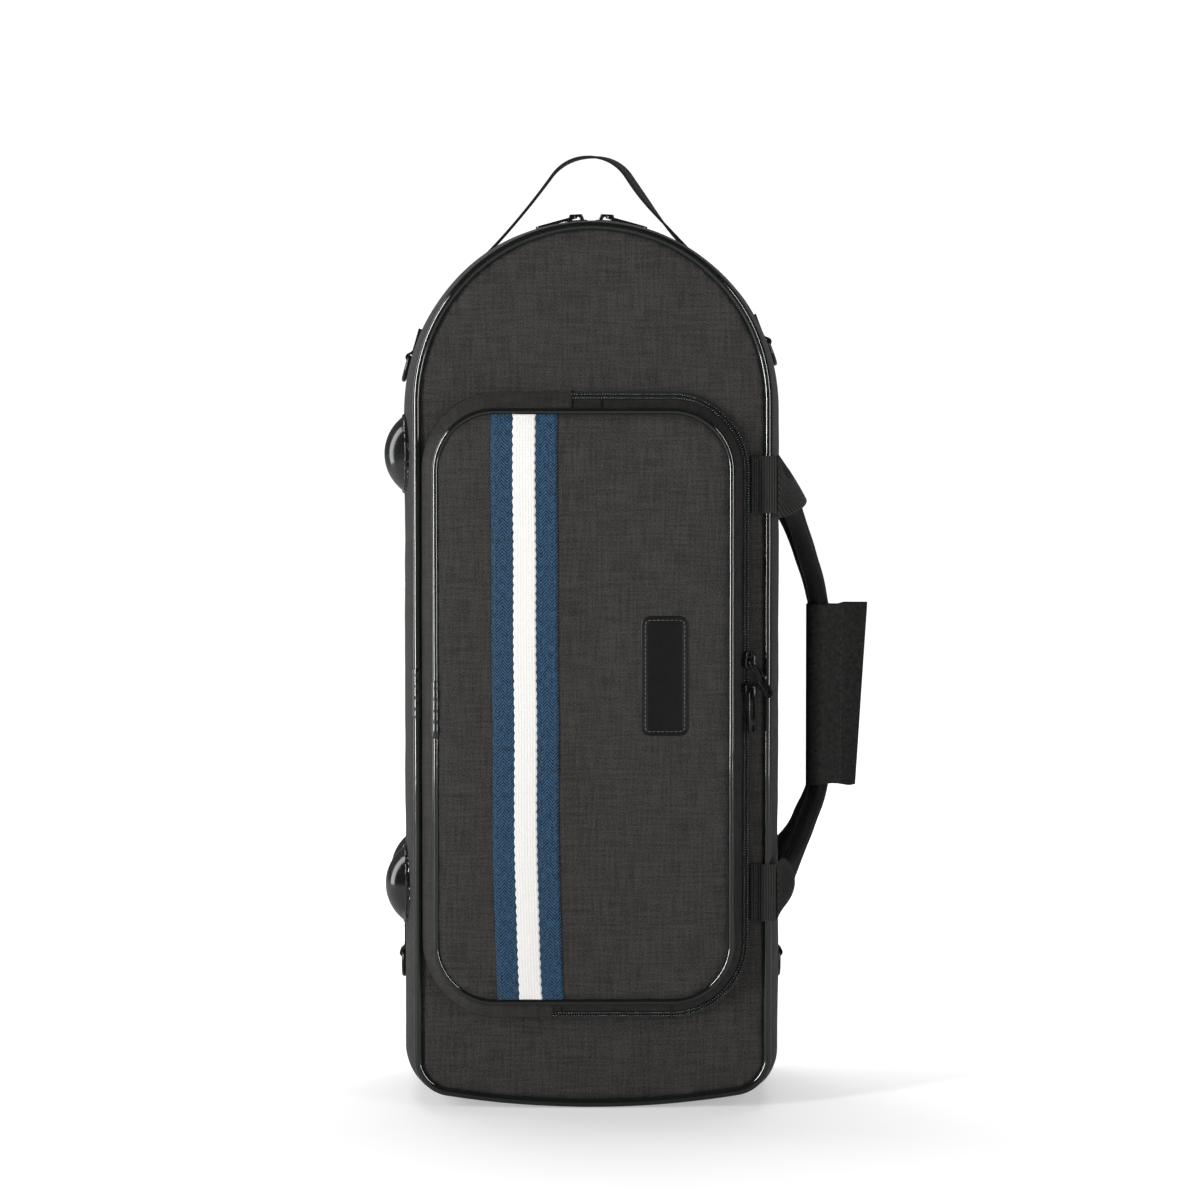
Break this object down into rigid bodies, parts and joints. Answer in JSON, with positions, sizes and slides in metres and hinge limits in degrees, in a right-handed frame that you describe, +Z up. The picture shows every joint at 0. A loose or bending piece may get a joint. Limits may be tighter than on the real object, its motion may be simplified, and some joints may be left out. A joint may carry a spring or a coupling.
{
  "type": "trumpet case",
  "caption": "Soft upright instrument case: two zipped foam shells with piped edges, a zipped front pocket, bumper feet, a wrapped carrying handle, a top loop and a fitted insert.",
  "frame": {"origin": "on the floor under the middle of the case, in the plane where the lid meets the base shell", "axes": "+X to the right seen from the pocket side, +Y to the back, +Z up along the case's length"},
  "size_m": [0.3084, 0.1736, 0.6061],
  "materials": {
    "shell_cloth": "warm charcoal woven nylon",
    "pocket_cloth": "warm charcoal woven nylon, padded",
    "shell_foam": "light grey stiff foam board",
    "plush": "short black plush",
    "piping_vinyl": "glossy black vinyl over a cord",
    "zip_tape": "woven black zipper tape",
    "zip_coil": "black nylon coil",
    "slider_metal": "black enamelled metal, glossy",
    "stripe": "blue herringbone webbing with a white middle",
    "patch": "black semi-gloss leather, stitched border, bare",
    "webbing": "black ribbed nylon webbing",
    "handle_cover": "satin black tubular webbing",
    "wrap_leather": "black grained leather, stitched",
    "foot_rubber": "black moulded rubber, satin",
    "fixing_steel": "zinc-plated steel",
    "ring_metal": "black enamelled wire"
  },
  "bodies": {
    "base_shell": {"base_foam": "shell_foam", "base_gusset": "shell_cloth", "base_bottom_cover": "shell_cloth", "base_panel": "shell_cloth", "base_piping": "piping_vinyl", "base_zip_tape": "zip_tape", "base_zip_coil": "zip_coil", "base_lining": "plush", "base_feet": "foot_rubber", "base_foot_fixings": "fixing_steel", "fabric_hinge": "shell_cloth", "insert_bell_block": "plush", "insert_valve_block": "plush", "insert_leadpipe_block": "plush", "holding_strap_anchor": "webbing", "hanging_loop_ends": "webbing", "rear_handle_tabs": "webbing", "strap_ring_tabs": "webbing"},
    "lid_shell": {"lid_foam": "shell_foam", "lid_gusset": "shell_cloth", "lid_bottom_cover": "shell_cloth", "lid_panel": "shell_cloth", "lid_piping": "piping_vinyl", "lid_zip_tape": "zip_tape", "lid_zip_coil": "zip_coil", "lid_lining": "plush", "lid_feet": "foot_rubber", "lid_foot_fixings": "fixing_steel", "fabric_hinge_lid_edge": "shell_cloth", "pocket_panel": "pocket_cloth", "pocket_gusset": "pocket_cloth", "pocket_piping": "piping_vinyl", "pocket_coil": "zip_coil", "pocket_zip_tape": "zip_tape", "piping_sleeves": "piping_vinyl", "stripe_webbing": "stripe", "front_handle_tabs": "webbing"},
    "pocket_flap": {"pocket_flap_panel": "pocket_cloth", "pocket_flap_gusset": "pocket_cloth", "pocket_flap_piping": "piping_vinyl", "pocket_flap_coil": "zip_coil", "leather_patch": "patch"},
    "pocket_slider_high": {"pocket_slider_high": "slider_metal"},
    "pocket_slider_low": {"pocket_slider_low": "slider_metal"},
    "pocket_puller_high": {"pocket_puller_high": "slider_metal"},
    "pocket_puller_low": {"pocket_puller_low": "slider_metal"},
    "main_slider_left": {"main_slider_left": "slider_metal"},
    "main_slider_right": {"main_slider_right": "slider_metal"},
    "main_puller_left": {"main_puller_left": "slider_metal"},
    "main_puller_right": {"main_puller_right": "slider_metal"},
    "hanging_loop": {"hanging_loop": "webbing"},
    "front_handle": {"front_handle": "handle_cover", "handle_wrap": "wrap_leather"},
    "rear_handle": {"rear_handle": "handle_cover"},
    "strap_ring_high_left": {"strap_ring_high_left": "ring_metal"},
    "strap_ring_high_right": {"strap_ring_high_right": "ring_metal"},
    "strap_ring_low_left": {"strap_ring_low_left": "ring_metal"},
    "strap_ring_low_right": {"strap_ring_low_right": "ring_metal"},
    "accessory_flap": {"accessory_flap": "plush"},
    "holding_strap": {"holding_strap": "webbing"}
  },
  "joints": [
    {"name": "lid_hinge", "type": "hinge", "parent": "base_shell", "child": "lid_shell", "pos_m": [-0.1199, 0, 0.247], "axis": [0, 0, -1], "range_deg": [0, 100]},
    {"name": "pocket_flap_fold", "type": "hinge", "parent": "lid_shell", "child": "pocket_flap", "pos_m": [-0.007, -0.094, 0.253], "axis": [-0.0707, 0, -0.9975], "range_deg": [0, 100]},
    {"name": "pocket_slider_high_travel", "type": "slide", "parent": "pocket_flap", "child": "pocket_slider_high", "axis": [0, 0, 1], "range_m": [0, 0.085]},
    {"name": "pocket_slider_low_travel", "type": "slide", "parent": "pocket_flap", "child": "pocket_slider_low", "axis": [0, 0, 1], "range_m": [-0.145, 0]},
    {"name": "pocket_puller_high_hinge", "type": "hinge", "parent": "pocket_slider_high", "child": "pocket_puller_high", "pos_m": [0.09855, -0.08338, 0.282], "axis": [-0.5601, -0.7217, -0.4067], "range_deg": [0, 70]},
    {"name": "pocket_puller_low_hinge", "type": "hinge", "parent": "pocket_slider_low", "child": "pocket_puller_low", "pos_m": [0.0991, -0.08267, 0.2625], "axis": [-0.6131, -0.79, 0], "range_deg": [0, 80]},
    {"name": "main_slider_left_travel", "type": "hinge", "parent": "base_shell", "child": "main_slider_left", "pos_m": [0, 0, 0.438], "axis": [0, -1, 0], "range_deg": [0, 60]},
    {"name": "main_puller_left_hinge", "type": "hinge", "parent": "main_slider_left", "child": "main_puller_left", "pos_m": [-0.00981, 0, 0.56126], "axis": [0, 1, 0], "range_deg": [0, 100]},
    {"name": "main_slider_right_travel", "type": "hinge", "parent": "base_shell", "child": "main_slider_right", "pos_m": [0, 0, 0.438], "axis": [0, 1, 0], "range_deg": [0, 80]},
    {"name": "main_puller_right_hinge", "type": "hinge", "parent": "main_slider_right", "child": "main_puller_right", "pos_m": [0.00981, 0, 0.56126], "axis": [0, -1, 0], "range_deg": [0, 100]},
    {"name": "hanging_loop_bend", "type": "hinge", "parent": "base_shell", "child": "hanging_loop", "pos_m": [0, 0.032, 0.54616], "axis": [1, 0, 0], "range_deg": [-40, 40]},
    {"name": "front_handle_bend", "type": "hinge", "parent": "lid_shell", "child": "front_handle", "pos_m": [0.11465, -0.07815, 0.2635], "axis": [0, 0, -1], "range_deg": [0, 80]},
    {"name": "rear_handle_bend", "type": "hinge", "parent": "base_shell", "child": "rear_handle", "pos_m": [0.11465, 0.07815, 0.2635], "axis": [0, 0, 1], "range_deg": [0, 80]},
    {"name": "strap_ring_high_left_hinge", "type": "hinge", "parent": "base_shell", "child": "strap_ring_high_left", "pos_m": [-0.11759, 0.028, 0.47203], "axis": [0, 1, 0], "range_deg": [0, 120]},
    {"name": "strap_ring_high_right_hinge", "type": "hinge", "parent": "base_shell", "child": "strap_ring_high_right", "pos_m": [0.11421, 0.028, 0.48215], "axis": [0, -1, 0], "range_deg": [0, 120]},
    {"name": "strap_ring_low_left_hinge", "type": "hinge", "parent": "base_shell", "child": "strap_ring_low_left", "pos_m": [-0.12233, 0.028, 0.084], "axis": [0, 1, 0], "range_deg": [0, 120]},
    {"name": "strap_ring_low_right_hinge", "type": "hinge", "parent": "base_shell", "child": "strap_ring_low_right", "pos_m": [0.12233, 0.028, 0.084], "axis": [0, -1, 0], "range_deg": [0, 120]},
    {"name": "accessory_flap_hinge", "type": "hinge", "parent": "base_shell", "child": "accessory_flap", "pos_m": [0.09665, 0.0003, 0.09], "axis": [0, 0, 1], "range_deg": [0, 95]},
    {"name": "holding_strap_bend", "type": "hinge", "parent": "base_shell", "child": "holding_strap", "pos_m": [-0.0243, 0.0022, 0.452], "axis": [0, 0, -1], "range_deg": [0, 110]}
  ]
}
